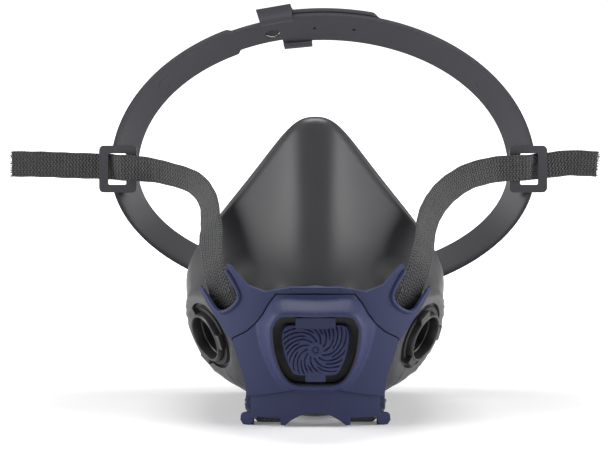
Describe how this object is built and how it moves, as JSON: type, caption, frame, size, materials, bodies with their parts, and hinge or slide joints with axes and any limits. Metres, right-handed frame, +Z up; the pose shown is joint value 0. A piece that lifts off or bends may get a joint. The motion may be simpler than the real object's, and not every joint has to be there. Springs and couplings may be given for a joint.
{
  "type": "half-mask respirator",
  "caption": "Reusable half-mask respirator: soft facepiece, moulded yoke with a hinged exhaust cover, two filter ports and an elastic head harness with an oval crown cradle.",
  "frame": {"origin": "middle of the flat under the chin, where the mask rests on a table", "axes": "-Y the way the mask faces, +X to the right of someone looking at its front, +Z up"},
  "size_m": [0.2825, 0.1622, 0.1785],
  "materials": {
    "facepiece_rubber": "soft moulded elastomer, satin",
    "yoke_plastic": "navy blue moulded plastic, fine grain",
    "port_plastic": "black moulded plastic",
    "gasket_rubber": "matt rubber",
    "valve_silicone": "thin translucent grey silicone",
    "cradle_plastic": "dark grey flexible plastic",
    "webbing": "knitted black elastic webbing",
    "pin_steel": "plain steel pin"
  },
  "bodies": {
    "mask": {"facepiece": "facepiece_rubber", "face_seal": "facepiece_rubber", "yoke": "yoke_plastic", "exhalation_seat": "port_plastic", "hinge_pins": "pin_steel", "left_port_insert": "port_plastic", "right_port_insert": "port_plastic", "left_port_gasket": "gasket_rubber", "right_port_gasket": "gasket_rubber", "left_inhalation_seat": "port_plastic", "right_inhalation_seat": "port_plastic", "left_neck_strap": "webbing", "right_neck_strap": "webbing", "neck_clasp_eye": "cradle_plastic", "neck_clasp_hook": "cradle_plastic"},
    "cover": {"front_cover": "yoke_plastic", "exhaust_shield": "yoke_plastic"},
    "exhalation_valve": {"exhalation_flap": "valve_silicone"},
    "left_inhalation_valve": {"left_inhalation_flap": "valve_silicone"},
    "right_inhalation_valve": {"right_inhalation_flap": "valve_silicone"},
    "harness": {"cradle_band": "cradle_plastic", "cradle_tongue": "cradle_plastic", "left_head_strap": "webbing", "right_head_strap": "webbing"}
  },
  "joints": [
    {"name": "cover_hinge", "type": "hinge", "parent": "mask", "child": "cover", "pos_m": [0, -0.036, 0.0105], "axis": [1, 0, 0], "range_deg": [0, 55]},
    {"name": "exhalation_lift", "type": "slide", "parent": "mask", "child": "exhalation_valve", "axis": [0, -1, 0], "range_m": [0, 0.0015], "stiffness_N_per_m": 8},
    {"name": "left_inhalation_lift", "type": "slide", "parent": "mask", "child": "left_inhalation_valve", "axis": [0.8236, 0.4755, 0.309], "range_m": [0, 0.0012], "stiffness_N_per_m": 8},
    {"name": "right_inhalation_lift", "type": "slide", "parent": "mask", "child": "right_inhalation_valve", "axis": [-0.8236, 0.4755, 0.309], "range_m": [0, 0.0012], "stiffness_N_per_m": 8},
    {"name": "harness_swing", "type": "hinge", "parent": "mask", "child": "harness", "pos_m": [0, -0.028, 0.06], "axis": [1, 0, 0], "range_deg": [0, 43], "deforming": ["left_head_strap", "right_head_strap"]}
  ]
}
